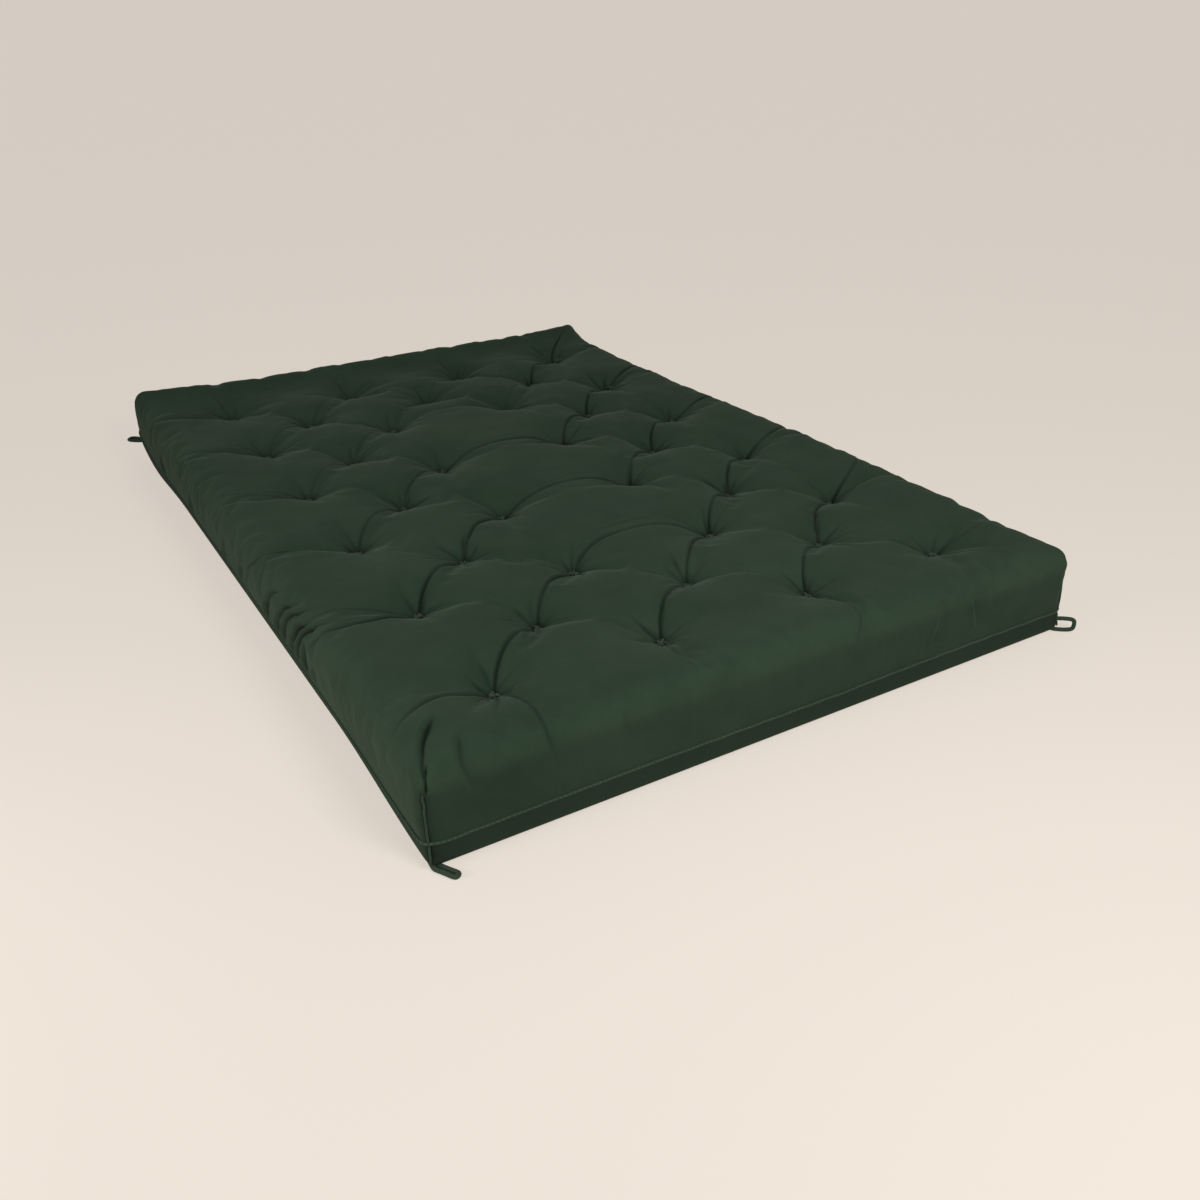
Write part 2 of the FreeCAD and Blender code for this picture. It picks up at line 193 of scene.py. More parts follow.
# %% Round the block and tuck in the sides
ROUND_PLAN = 30 * MM
ROUND_TOP = 50 * MM
ROUND_BOTTOM = 14 * MM
WIDEST = 0.62  # the widest line, as a share of the height
TUCK = {"left": 20 * MM, "right": 8 * MM, "front": 1 * MM, "back": 8 * MM}
TUCK_FADE = 450 * MM  # the long sides tuck in less within this length of their ends
TUCK_AT_ENDS = 0.4  # and only this share of it at the very ends
CORNER_PULL = 8 * MM  # how far the corner seam draws each lower corner out to a point


def smooth(value):
    value = np.clip(value, 0, 1)
    return value * value * (3 - 2 * value)


def rounded(points):
    """Moves points of the block onto the same block with rounded edges."""
    upper = points[:, 2] > height / 2
    reach = np.stack([np.full(len(points), ROUND_PLAN), np.full(len(points), ROUND_PLAN),
                      np.where(upper, ROUND_TOP, ROUND_BOTTOM)], axis=1)
    low = np.array([-half_width, -half_length, 0]) + reach
    high = np.array([half_width, half_length, height]) - reach
    core = np.clip(points, low, high)
    out = (points - core) / reach
    length = np.maximum(np.linalg.norm(out, axis=1, keepdims=True), 1e-9)
    spread = np.where(np.abs(out).max(axis=1, keepdims=True) > 1e-6, out / length, 0)
    return core + spread * reach


def into_corner(points):
    """How far each point reaches, along both axes, into the square where its corner is rounded."""
    return np.abs(points[:, :2]) - np.array([half_width - ROUND_PLAN, half_length - ROUND_PLAN])


def tucked(points):
    """Draws the lower part of each side in and the foot of each corner out."""
    share = 1 - smooth(points[:, 2] / (WIDEST * height))
    from_end = smooth((half_length - np.abs(points[:, 1])) / TUCK_FADE)
    middle = TUCK_AT_ENDS + (1 - TUCK_AT_ENDS) * from_end
    left, right = TUCK["left"] * share * middle, TUCK["right"] * share * middle
    front, back = TUCK["front"] * share, TUCK["back"] * share
    across = points[:, 0] / half_width
    along = points[:, 1] / half_length
    moved = points.copy()
    moved[:, 0] += np.where(across < 0, left, -right) * np.abs(across) ** 3
    moved[:, 1] += np.where(along < 0, front, -back) * np.abs(along) ** 3
    pointed = np.clip(into_corner(points).min(axis=1) / (0.7 * ROUND_PLAN), 0, 1) ** 2
    moved[:, :2] += np.sign(points[:, :2]) * (CORNER_PULL * share * pointed)[:, None]
    return moved


def corner_arc(points):
    """How far round the nearest corner a point lies from the corner's own line, in metres."""
    out = into_corner(points)
    turn = np.arctan2(np.maximum(out[:, 1], 0), np.maximum(out[:, 0], 0)) - math.pi / 4
    near = (out[:, 0] > 1e-5) & (out[:, 1] > 1e-5)
    return np.where(near, turn, np.sign(out[:, 1] - out[:, 0] + 1e-9) * math.pi / 4) * ROUND_PLAN


add_values(block, "corner_arc", corner_arc(rounded(points)))
points = tucked(rounded(points))
set_points(block, points)
print("rounded block:", points.min(axis=0).round(3), points.max(axis=0).round(3))


# %% [markdown]
# ## Letting the cover fill out
# The dimples start as soft wells around each tuft. The cover is then simulated as cloth that is cut a
# little larger than the filling and pressed out from inside, while the tufts, the lower band and the
# underside are held. It bellies between the tufts and gathers round them, as the real one does. How
# far a point may travel is capped, so the mattress keeps its size.

# %% Wells round the tufts
WELL_REACH = 52 * MM
SINK = 6 * MM  # how far the top starts below its full height, to leave room to belly
UNDER_REACH = 26 * MM
EDGE_SLOPE = 160 * MM  # how wide a strip along the edges the belly rises over
TOP_BEGINS = 0.72  # the share of the height where the side turns into the top
under_depth = twine_low.z


def well_share(points, reach, power):
    """1 at a tuft and 0 well away from it, for each point in plan."""
    share = np.zeros(len(points))
    for tuft in tufts.values():
        gap = np.hypot(points[:, 0] - tuft.x, points[:, 1] - tuft.y)
        share = np.maximum(share, np.exp(-(gap / reach) ** power))
    return share


edge_gap = np.minimum(half_width - np.abs(points[:, 0]), half_length - np.abs(points[:, 1]))
top_share = smooth((points[:, 2] - TOP_BEGINS * height) / ((1 - TOP_BEGINS) * height))
underside = points[:, 2] < 1 * MM
well = well_share(points, WELL_REACH, power=1.3)
start = points.copy()
start[:, 2] -= top_share * ((well_depth - SINK) * well + SINK * smooth(edge_gap / EDGE_SLOPE))
start[:, 2] += underside * under_depth * well_share(points, UNDER_REACH, power=2.0)
set_points(block, start)


# %% Simulate the cloth
SIM_FRAMES = 20
MOST_MOVE = 12 * MM
CALM_SIDES = 0.35  # the share of the movement that the sides keep, so that they stay smooth
CLOTH = {
    "quality": 6,
    "mass": 0.25,
    "tension_stiffness": 12,
    "compression_stiffness": 12,
    "shear_stiffness": 4,
    "bending_stiffness": 0.4,
    "air_damping": 2,
    "use_pressure": True,
    "uniform_pressure_force": 3.5,
    "shrink_min": -0.035,
    "vertex_group_mass": "held",
}


def linked(name, data):
    """A new object at the origin that holds the data."""
    thing = bpy.data.objects.new(name, data)
    bpy.context.scene.collection.objects.link(thing)
    return thing


def fill_out(mesh, held):
    """Runs the cover as cloth under pressure and returns its points at the end."""
    cloth_object = linked("cover_cloth", mesh)
    group = cloth_object.vertex_groups.new(name="held")
    for index in np.nonzero(held > 0)[0]:
        group.add([int(index)], float(held[index]), "REPLACE")
    modifier = cloth_object.modifiers.new("cloth", "CLOTH")
    settings = modifier.settings
    for name, value in CLOTH.items():
        setattr(settings, name, value)
    settings.effector_weights.gravity = 0
    modifier.collision_settings.use_self_collision = False
    modifier.point_cache.frame_start = 1
    modifier.point_cache.frame_end = SIM_FRAMES
    scene = bpy.context.scene
    for step in range(1, SIM_FRAMES + 1):
        scene.frame_set(step)
    shaped = cloth_object.evaluated_get(bpy.context.evaluated_depsgraph_get())
    result = get_points(shaped.data)
    cloth_object.modifiers.clear()
    scene.frame_set(1)
    bpy.data.objects.remove(cloth_object)
    return result


at_tuft = (well > 0.80) & (top_share > 0.5)
near_edge = 1 - smooth(edge_gap / (70 * MM))
held = 1 - smooth((start[:, 2] - seam_height) / (0.35 * height))
held = np.maximum(held, np.where(at_tuft, 1.0, 0.0))
held = np.maximum(held, 0.30 * near_edge)

filled = fill_out(block, held)
travel = filled - start
distance = np.maximum(np.linalg.norm(travel, axis=1, keepdims=True), 1e-9)
print(f"cloth moved at most {distance.max() / MM:.1f} mm, on average {distance.mean() / MM:.1f} mm")
calm = CALM_SIDES + (1 - CALM_SIDES) * smooth((start[:, 2:] / height - 0.55) / 0.35)
filled = start + calm * travel * MOST_MOVE * np.tanh(distance / MOST_MOVE) / distance
set_points(block, filled)
print("after filling:", filled.min(axis=0).round(3), filled.max(axis=0).round(3))


# %% [markdown]
# ## The lines of tension
# Slack cloth gathers into creases that run from tuft to tuft. Most of them follow the diagonals of the
# quincunx and bow a little, because they leave each tuft along the length and arrive across it. Where
# the middle has no tufts they arch over the bulge instead. A crease is a route in the folded-out plane
# with a sharp bottom, a wide dip and, on one side, a rolled lip.

# %% Routes of the creases
CREASE = {
    "depth": 9.5,  # of the sharp bottom
    "width": 2.4,  # of the sharp bottom
    "dip": 2.6,  # depth of the wide dip
    "reach": 18,  # half width of the wide dip
    "lip": 2.2,  # height of the rolled lip
    "side": 1,  # where the lip lies: 1 left of the route, -1 right
    "sag": 0.35,  # how much weaker the crease is halfway
    "fade": 0.0,  # the share of its length over which it dies out
    "rise": 0.0,  # the share of its length over which it begins
}
folds = []


def rounded_route(route, rounds=3):
    """Cuts the corners of a route until it runs smoothly, keeping both ends."""
    route = np.array([tuple(point)[:2] for point in route])
    for _ in range(rounds):
        near = 0.75 * route[:-1] + 0.25 * route[1:]
        far = 0.25 * route[:-1] + 0.75 * route[1:]
        middle = np.stack([near, far], axis=1).reshape(-1, 2)
        route = np.vstack([route[:1], middle, route[-1:]])
    return route


def add_fold(route, **changes):
    """Adds a crease along a route; depths and widths are in millimetres."""
    folds.append((rounded_route(route), {**CREASE, **changes}))


def bowed(a, b, bow):
    """A route from a to b that bows to the left of its direction."""
    a, b = Vector(a[:2]), Vector(b[:2])
    left = Vector((-(b - a).y, (b - a).x)).normalized() * bow
    return [a, a.lerp(b, 0.30) + left, a.lerp(b, 0.68) + left * 1.15, b]


def chain(*names, bow=18 * MM, **changes):
    """Creases from tuft to tuft along a row of names."""
    for first, second in zip(names, names[1:]):
        add_fold(bowed(tufts[first], tufts[second], bow), **changes)


def away(name, *steps, **changes):
    """A crease that leaves a tuft and passes the given places."""
    add_fold([tufts[name], *[Vector(step) for step in steps]], **changes)


chain((0, -3), (1, -2), (2, -1))
chain((2, -3), (3, -2), (4, -1))
chain((4, 1), (5, 2), (6, 3))
chain((4, -3), (5, -2), (6, -1), depth=4.5)
chain((6, 1), (7, 2), (8, 3))
chain((6, -3), (7, -2), (8, -1), depth=3, dip=3.5, lip=1)
chain((8, -3), (9, -2), (10, -1), depth=3, dip=3.5, lip=1)
chain((9, 2), (10, 3))
chain((0, -1), (1, 0), (2, 1), (3, 2), (4, 3))
chain((0, 1), (1, 2), (2, 3))
chain((8, -1), (9, 0), (10, 1), depth=2.5, dip=3, lip=1)
chain((8, 1), (9, 2), depth=2.5, dip=3, lip=1)

# over the bulge in the middle
ARCH = {"depth": 4.5, "dip": 3, "reach": 16, "lip": 2.6, "sag": 0.0}
add_fold([tufts[2, -1], (-0.12, -0.475), (-0.04, -0.456), (0.05, -0.458), (0.12, -0.485), tufts[2, 1]],
         **ARCH)
add_fold([(-0.11, -0.445), (-0.03, -0.425), (0.05, -0.430), (0.11, -0.455)],
         depth=2, dip=2, fade=0.5, rise=0.4)
add_fold([tufts[4, -1], (-0.10, -0.185), (0.0, -0.165), (0.10, -0.172), tufts[4, 1]], **ARCH)
add_fold([tufts[6, -1], (-0.10, 0.125), (0.0, 0.145), (0.10, 0.138), tufts[6, 1]], **ARCH)
add_fold([tufts[8, -1], (-0.06, 0.43), (0.04, 0.44), tufts[8, 1]], depth=2, dip=3, lip=1)

# to the right-hand edge
away((4, 3), (0.50, -0.205), (0.60, -0.165), (0.71, -0.13), fade=0.5)
away((6, 3), (0.55, 0.11), (0.64, 0.15), (0.74, 0.15), fade=0.5)
away((8, 3), (0.53, 0.43), (0.62, 0.48), (0.72, 0.50), fade=0.5)
away((10, 3), (0.54, 0.80), (0.60, 0.88), (0.66, 0.97), fade=0.5)
away((2, 3), (0.60, -0.46), (0.70, -0.38), fade=0.6)
away((2, 3), (0.59, -0.51), (0.70, -0.50), depth=4, fade=0.6)
away((0, 3), (0.60, -0.83), (0.72, -0.80), depth=3, fade=0.7)
away((0, 3), (0.40, -0.87), (0.36, -0.90), depth=2.5, fade=0.7)
print(len(folds), "creases on the top")


# %% [markdown]
# Over the left edge the cover is gathered: strands run from the tufts across the edge and down the
# side, close together where the cloth was pulled round the corner of the filling.

# %% Gathers over the left edge and round the front corner
away((2, -3), (-0.57, -0.535), (-0.63, -0.545), (-0.70, -0.535), (-0.78, -0.49), fade=0.5, side=-1)
away((2, -3), (-0.56, -0.495), (-0.64, -0.475), (-0.71, -0.46), (-0.80, -0.38), (-0.87, -0.32),
     fade=0.3, depth=4)
away((4, -3), (-0.56, -0.21), (-0.62, -0.20), (-0.73, -0.16), (-0.83, -0.04), (-0.89, 0.0), fade=0.4)
away((6, -3), (-0.57, 0.11), (-0.66, 0.14), (-0.78, 0.24), (-0.87, 0.29), fade=0.5, depth=4)
away((8, -3), (-0.58, 0.42), (-0.66, 0.45), (-0.80, 0.53), fade=0.6, depth=4)
away((10, -3), (-0.57, 0.72), (-0.66, 0.73), (-0.78, 0.80), fade=0.6, depth=3.5)
GATHER = {"depth": 8, "width": 3.6, "dip": 3, "reach": 12, "lip": 4.0, "side": -1, "sag": 0,
          "fade": 0.15, "rise": 0.3}


def gather(*route, **changes):
    add_fold(route, **{**GATHER, **changes})


gather((-0.64, -0.525), (-0.70, -0.49), (-0.76, -0.44), (-0.84, -0.385), (-0.89, -0.36))
gather((-0.66, -0.49), (-0.71, -0.46), (-0.76, -0.42), (-0.83, -0.35), (-0.88, -0.33))
gather((-0.65, -0.455), (-0.70, -0.42), (-0.76, -0.37), (-0.83, -0.30), (-0.87, -0.275))
gather((-0.67, -0.41), (-0.73, -0.36), (-0.79, -0.30), (-0.85, -0.25), (-0.89, -0.23))
gather((-0.68, -0.34), (-0.73, -0.29), (-0.79, -0.23), (-0.86, -0.17), (-0.90, -0.155))
gather((-0.72, -0.50), (-0.77, -0.47), (-0.84, -0.435), (-0.89, -0.42))
gather((-0.75, -0.55), (-0.82, -0.50), (-0.88, -0.48), depth=3)
gather((-0.74, -0.10), (-0.80, -0.04), (-0.86, 0.02), depth=3)
gather((-0.73, 0.02), (-0.80, 0.09), (-0.87, 0.15), depth=3)
gather((-0.73, 0.32), (-0.80, 0.38), (-0.87, 0.42), depth=3)
gather((-0.74, 0.62), (-0.80, 0.67), (-0.87, 0.70), depth=3)

# round the front left corner
away((0, -3), (-0.54, -0.815), (-0.60, -0.825), (-0.66, -0.86), (-0.72, -0.89), fade=0.35, side=-1, depth=6)
gather((-0.61, -0.87), (-0.655, -0.92), (-0.68, -0.97), (-0.70, -1.02), reach=16)
gather((-0.67, -0.97), (-0.69, -1.0), (-0.70, -1.04))
gather((-0.60, -0.93), (-0.625, -0.98), (-0.62, -1.03), (-0.61, -1.07), depth=3.5)
away((0, -3), (-0.505, -0.87), (-0.53, -0.915), (-0.55, -0.95), fade=0.5, depth=5)
away((0, -3), (-0.475, -0.86), (-0.475, -0.93), (-0.485, -1.0), (-0.47, -1.09), fade=0.3, side=-1, depth=5)
away((0, -1), (-0.185, -0.90), (-0.20, -0.98), (-0.20, -1.07), fade=0.5, depth=3, lip=1)
away((0, 1), (0.175, -0.88), (0.16, -0.96), (0.13, -1.04), (0.12, -1.10), fade=0.3, depth=5, side=-1)
gather((0.42, -1.02), (0.435, -1.06), (0.45, -1.10), depth=3.5)
gather((0.34, -1.04), (0.335, -1.08), (0.33, -1.11), depth=2.5)

# over the back edge
for column in (-3, -1, 1, 3):
    x = tufts[10, column].x
    away((10, column), (x - 0.01, 0.82), (x - 0.03, 0.93), fade=0.6, depth=4)
print(len(folds), "creases with the gathers")


# %% [markdown]
# Round every tuft the cover puckers into short rays. Each tuft gets its own set.

# %% Puckers round the tufts
RAYS = 8
rng = np.random.default_rng(11)
for tuft in tufts.values():
    turn = rng.uniform(0, 2 * math.pi)
    for ray in range(RAYS):
        angle = turn + 2 * math.pi * (ray + rng.uniform(-0.35, 0.35)) / RAYS
        length = rng.uniform(45, 112) * MM
        bend = rng.uniform(-0.6, 0.6)
        route = []
        for share in (0.08, 0.4, 0.7, 1.0):
            bent = angle + bend * share
            route.append(tuft + Vector((math.cos(bent), math.sin(bent))) * length * share)
        add_fold(route, depth=rng.uniform(2.2, 5.2), width=3.2, dip=rng.uniform(1, 3), reach=9,
                 lip=0.9, side=rng.choice([-1, 1]), sag=0, fade=0.75)
print(len(folds), "creases in all")


# %% [markdown]
# ## Relief
# The relief is worked out for the refined mesh: each vertex looks up its distance from every crease
# near it. Where creases meet, the deepest wins, so that crossings do not add up to holes.

# %% Relief of the creases
PIT = 6  # how much further a knot sinks into its well, in millimetres
PIT_REACH = 13
SHADE_LINE_WIDTH = 3.2  # half width of the painted shade line in a crease
SHADE_LINE_DEPTH = 7.5  # a crease this deep gets the full painted shade line
GENTLER = 2.2  # how many times wider a crease runs out on the side without a lip
UNEVEN = 0.22  # how much a crease varies along its length


def beside_route(places, route):
    """Signed distance of each place from a route, and how far along the route it lies, 0 to 1."""
    nearest = np.full(len(places), 1e9)
    signed = np.zeros(len(places))
    along = np.zeros(len(places))
    lengths = np.linalg.norm(np.diff(route, axis=0), axis=1)
    done = 0.0
    for begin, end, length in zip(route[:-1], route[1:], lengths):
        direction = (end - begin) / length
        offset = places - begin
        step = np.clip(offset @ direction, 0, length)
        gap = np.linalg.norm(offset - step[:, None] * direction, axis=1)
        side = np.sign(direction[0] * offset[:, 1] - direction[1] * offset[:, 0])
        closer = gap < nearest
        nearest = np.where(closer, gap, nearest)
        signed = np.where(closer, gap * side, signed)
        along = np.where(closer, (done + step) / lengths.sum(), along)
        done += length
    return signed, along


def crease_relief(places):
    """Height of the creases at each place in metres, and a 0 to 1 share of painted shade: dark lines along
    the creases and dark spots round the knots.
    """
    cusp = np.zeros(len(places))
    dip = np.zeros(len(places))
    lip = np.zeros(len(places))
    # line holds the painted shade along the bottom of each crease
    line = np.zeros(len(places))
    for route, size in folds:
        margin = 3 * size["reach"] * MM
        near = np.all((places > route.min(axis=0) - margin) & (places < route.max(axis=0) + margin), axis=1)
        rows = np.nonzero(near)[0]
        if len(rows) == 0:
            continue
        signed, along = beside_route(places[rows], route)
        strength = 1 - size["sag"] * 4 * along * (1 - along)
        if size["fade"] > 0:
            strength *= 1 - smooth((along - 1 + size["fade"]) / size["fade"])
        if size["rise"] > 0:
            strength *= smooth(along / size["rise"])
        strength *= 1 - UNEVEN + UNEVEN * np.sin(7.0 * along + 40 * route[0, 0] + 23 * route[0, 1])
        gap = np.abs(signed) / MM
        # painted shade: a dark line down the middle of the crease, fuller for deeper creases
        dark = strength * min(size["depth"] / SHADE_LINE_DEPTH, 1) ** 1.4 * np.exp(-(gap / SHADE_LINE_WIDTH) ** 2)
        line[rows] = np.maximum(line[rows], dark)
        gap = np.where(signed * size["side"] > 0, gap, gap / GENTLER)
        cusp[rows] = np.maximum(cusp[rows], strength * size["depth"] * np.exp(-(gap / size["width"]) ** 1.2))
        dip[rows] = np.maximum(dip[rows], strength * size["dip"] * np.exp(-(gap / size["reach"]) ** 2))
        bump = np.exp(-((signed / MM * size["side"] - 2.6 * size["width"]) / (1.3 * size["width"])) ** 2)
        lip[rows] = np.maximum(lip[rows], strength * size["lip"] * bump)
    pit = np.zeros(len(places))
    for tuft in tufts.values():
        gap = np.hypot(places[:, 0] - tuft.x, places[:, 1] - tuft.y) / MM
        pit = np.maximum(pit, np.exp(-(gap / PIT_REACH) ** 1.5))
    # the second value is painted shade for the colour: the crease lines and a dark spot round each knot
    return (lip - cusp - dip - PIT * pit) * MM, np.clip(1.3 * line + 0.6 * pit, 0, 1)


def waves(places, lengths, seed):
    """Soft undulation: a few waves of each length, running every way, between -1 and 1."""
    rng = np.random.default_rng(seed)
    total = np.zeros(len(places))
    for length in lengths:
        for _ in range(3):
            angle = rng.uniform(0, math.pi)
            phase = rng.uniform(0, 2 * math.pi)
            run = places[:, 0] * math.cos(angle) + places[:, 1] * math.sin(angle)
            total += np.sin(run * 2 * math.pi / length + phase)
    return total / (3 * len(lengths))


# %% [markdown]
# ## Lean, ears and curl
# The real mattress is not a true box. Its right side leans in towards the back, its back corners stand
# up like ears, and the back end lifts off the floor.

# %% Shape the refined cover
LEAN = 46 * MM
EARS = {"left": 8 * MM, "right": 2 * MM}
BACK_HOLLOW = 6 * MM
VALLEY = 6 * MM  # how deep each corner seam draws the cover in
VALLEY_REACH = {"short side": 15 * MM, "long side": 6 * MM}
SMOOTH_BAND = 2 * MM  # above the seam the cover lies flat for this height
BAND_FADE = 26 * MM  # and reaches its full relief over this height
SOFT = 2.6 * MM  # height of the broad undulation
FINE = 0.9 * MM  # height of the finer one
RUFFLE = 1 * MM  # height of the ruffles down the left side
RUFFLE_ELSEWHERE = 0.35


def final_mesh(thing):
    """The mesh of an object as its modifiers or its bevel leave it. The object itself is removed."""
    shaped = thing.evaluated_get(bpy.context.evaluated_depsgraph_get())
    mesh = bpy.data.meshes.new_from_object(shaped)
    bpy.data.objects.remove(thing)
    return mesh


def refined(mesh, levels):
    """A copy of the mesh, smoothly divided."""
    coarse = linked("coarse", mesh)
    modifier = coarse.modifiers.new("finer", "SUBSURF")
    modifier.levels = levels
    modifier.render_levels = levels
    return final_mesh(coarse)


def leaned(points):
    share = np.clip(points[:, 2] / height, 0, 1.1)
    moved = points.copy()
    right = np.clip(points[:, 0] / half_width, 0, 1)
    moved[:, 0] -= LEAN * smooth((points[:, 1] + 0.45) / 1.1) * right ** 2 * share
    back = smooth((points[:, 1] - 0.62) / 0.36)
    corner = smooth((np.abs(points[:, 0]) - 0.36) / 0.32)
    ear = np.where(points[:, 0] < 0, EARS["left"], EARS["right"])
    moved[:, 2] += share * back * (ear * corner - BACK_HOLLOW * (1 - corner))
    return moved


def curled(points):
    """Bends the part behind the bend about an axis above it."""
    turn = np.maximum(points[:, 1] - bend_place, 0) / CURL_RADIUS
    arm = CURL_RADIUS - points[:, 2]
    bent = points.copy()
    bent[:, 1] = np.where(turn > 0, bend_place + arm * np.sin(turn), points[:, 1])
    bent[:, 2] = np.where(turn > 0, CURL_RADIUS - arm * np.cos(turn), points[:, 2])
    return bent


def shaped_panel(name, part, levels):
    """One panel of the cover, refined, creased, curled and cut from the block along the seam."""
    mesh = refined(block, levels)
    mesh.name = name
    points, normals = get_points(mesh), get_normals(mesh)
    places = np.stack([get_values(mesh, "folded_x"), get_values(mesh, "folded_y")], axis=1)
    above = smooth((points[:, 2] - seam_height - SMOOTH_BAND) / BAND_FADE)
    creases, painted_fold_shade = crease_relief(places)
    sides = smooth((height - points[:, 2]) / (0.5 * height))
    soft = waves(places, (0.55, 0.34, 0.21), seed=3) * SOFT + waves(places, (0.12, 0.08), seed=5) * FINE
    ruffled = np.where(places[:, 0] < -half_width, 1.0, RUFFLE_ELSEWHERE)
    ruffle = waves(places * [1.0, 0.35], (0.13, 0.07), seed=8) * RUFFLE * sides * ruffled
    arc = get_values(mesh, "corner_arc")
    reach = np.where(arc > 0, VALLEY_REACH["short side"], VALLEY_REACH["long side"])
    valley = VALLEY * np.exp(-np.abs(arc) / reach)
    valley *= smooth((0.86 * height - points[:, 2]) / (0.15 * height)) * smooth(points[:, 2] / (30 * MM))
    relief = above * (creases + soft + ruffle) - valley
    points = points + normals * relief[:, None]
    points[:, 2] = np.maximum(points[:, 2], 0)
    set_points(mesh, curled(leaned(points)))
    # painted shade for the colour: the crease lines, the spots round the knots and the corner valleys
    add_values(mesh, "painted_fold_shade", np.maximum(painted_fold_shade * above, valley / VALLEY))
    bm = bmesh.new()
    bm.from_mesh(mesh)
    others = [face for face in bm.faces if face.material_index != part]
    bmesh.ops.delete(bm, geom=others, context="FACES")
    for face in bm.faces:
        face.material_index = 0
        face.smooth = True
    bm.to_mesh(mesh)
    bm.free()
    return mesh


def add_piece(name, mesh, material, slot, *nodes):
    """Links a finished mesh as a piece that rides with the mattress and stands for the frame's nodes."""
    piece = linked(name, mesh)
    mesh.materials.clear()
    mesh.materials.append(material)
    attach(piece, "root")
    if nodes:
        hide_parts(*nodes)
    print(name, "-", len(mesh.polygons), "faces")
    return piece


# %% [markdown]
# ## Cloth, thread and yarn
# The cover is brushed cotton: matt, nearly black green, with a nap that catches light at a flat angle
# and lies unevenly, so it shows soft lighter and darker patches. Painted shade darkens the creases,
# the spots round the knots and the corner valleys, and the lower band is the same cloth darkened with
# painted shade. The thread and the yarn are spun cotton of the same dye bath.

# %% Nodes as arithmetic
class Value:
    """A socket of a node tree. Arithmetic on it adds the nodes that work it out."""

    def __init__(self, tree, socket=None):
        self.tree = tree
        self.socket = socket

    def node(self, kind, settings=None, inputs=None, output=0):
        """Adds any node: its settings first, then values or links for its inputs."""
        node = self.tree.nodes.new(kind)
        for name, value in (settings or {}).items():
            setattr(node, name, value)
        for name, value in (inputs or {}).items():
            if isinstance(value, Value):
                self.tree.links.new(value.socket, node.inputs[name])
            else:
                node.inputs[name].default_value = value
        return Value(self.tree, node.outputs[output]) if node.outputs else Value(self.tree)

    def maths(self, operation, first, second):
        return self.node("ShaderNodeMath", {"operation": operation}, {0: first, 1: second})

    def __add__(self, other):
        return self.maths("ADD", self, other)

    def __radd__(self, other):
        return self.maths("ADD", other, self)

    def __sub__(self, other):
        return self.maths("SUBTRACT", self, other)

    def __rsub__(self, other):
        return self.maths("SUBTRACT", other, self)

    def __mul__(self, other):
        return self.maths("MULTIPLY", self, other)

    def __rmul__(self, other):
        return self.maths("MULTIPLY", other, self)

    def mixed(self, first, second):
        """A colour between two others, with this value as the share of the second."""
        settings = {"data_type": "RGBA", "clamp_factor": True}
        return self.node("ShaderNodeMix", settings, {0: self, 6: first, 7: second}, output=2)


# %% Materials
PAINTED_SHADE_SHARE = 0.95  # how much of a deep fold's colour is its painted shade
PAINTED_SHADE_LEVEL = 0.15  # how bright that painted shade is against the cloth's dark colour


def new_material(name):
    material = bpy.data.materials.new(name)
    material.use_nodes = True
    material.node_tree.nodes.clear()
    return material, Value(material.node_tree)


def finish_material(tree, inputs):
    shader = tree.node("ShaderNodeBsdfPrincipled", None, inputs)
    tree.node("ShaderNodeOutputMaterial", None, {"Surface": shader})


def object_place(tree):
    """The place on the object in its own coordinates, which are the frame's."""
    return tree.node("ShaderNodeTexCoord", None, None, output=3)


def noise(tree, place, scale, detail=3.0):
    return tree.node("ShaderNodeTexNoise", None, {"Vector": place, "Scale": scale, "Detail": detail})


def bumped(tree, height, strength, distance, **below):
    """A bump from a height, on top of the normal that is given, if one is."""
    inputs = {"Height": height, "Strength": strength, "Distance": distance}
    return tree.node("ShaderNodeBump", None, {**inputs, **below})


def cotton(name, dark, light, sheen, nap=0.4):
    """Brushed cotton between two colours, with broad patches, a fine nap and painted shade in the folds."""
    material, tree = new_material(name)
    place = object_place(tree)
    stretched = tree.node("ShaderNodeMapping", None, {"Vector": place, "Scale": (1.0, 1.6, 1.2)})
    patches = noise(tree, stretched, 3.2, 4.0) * 0.55 + noise(tree, place, 17.0) * 0.30
    patches = patches + noise(tree, place, 240.0) * 0.15
    share = (patches - 0.5) * 2.5 + 0.5
    painted_fold_shade = tree.node("ShaderNodeAttribute", {"attribute_name": "painted_fold_shade"}, None, output=2)
    colour = share.mixed((*dark, 1), (*light, 1))
    # painted shade: the colour darkens in the creases, round the knots and in the corner valleys
    colour = (painted_fold_shade * PAINTED_SHADE_SHARE).mixed(colour, (*[part * PAINTED_SHADE_LEVEL for part in dark], 1))
    lint = bumped(tree, noise(tree, place, 900.0, 2.0), nap, 0.6 * MM)
    wrinkles = bumped(tree, noise(tree, stretched, 55.0, 4.0), 0.35, 2 * MM, Normal=lint)
    finish_material(tree, {
        "Base Color": colour,
        "Roughness": 0.86 + noise(tree, place, 30.0) * 0.1,
        "Specular IOR Level": 0.1,
        "Sheen Weight": sheen,
        "Sheen Roughness": 0.45,
        "Sheen Tint": (0.55, 0.75, 0.58, 1),
        "Normal": wrinkles,
    })
    return material


def spun(name, dark, light, twist):
    """Spun cotton: a fine twist runs round thread and yarn."""
    material, tree = new_material(name)
    place = object_place(tree)
    fibres = tree.node("ShaderNodeTexWave", {"bands_direction": "DIAGONAL"},
                       {"Vector": place, "Scale": twist, "Distortion": 4.0, "Detail": 2.0}, output=1)
    colour = (fibres * 0.7 + noise(tree, place, 60.0) * 0.3).mixed((*dark, 1), (*light, 1))
    finish_material(tree, {
        "Base Color": colour,
        "Roughness": 0.88,
        "Specular IOR Level": 0.15,
        "Sheen Weight": 0.1,
        "Normal": bumped(tree, fibres, 0.5, 0.5 * MM),
    })
    return material


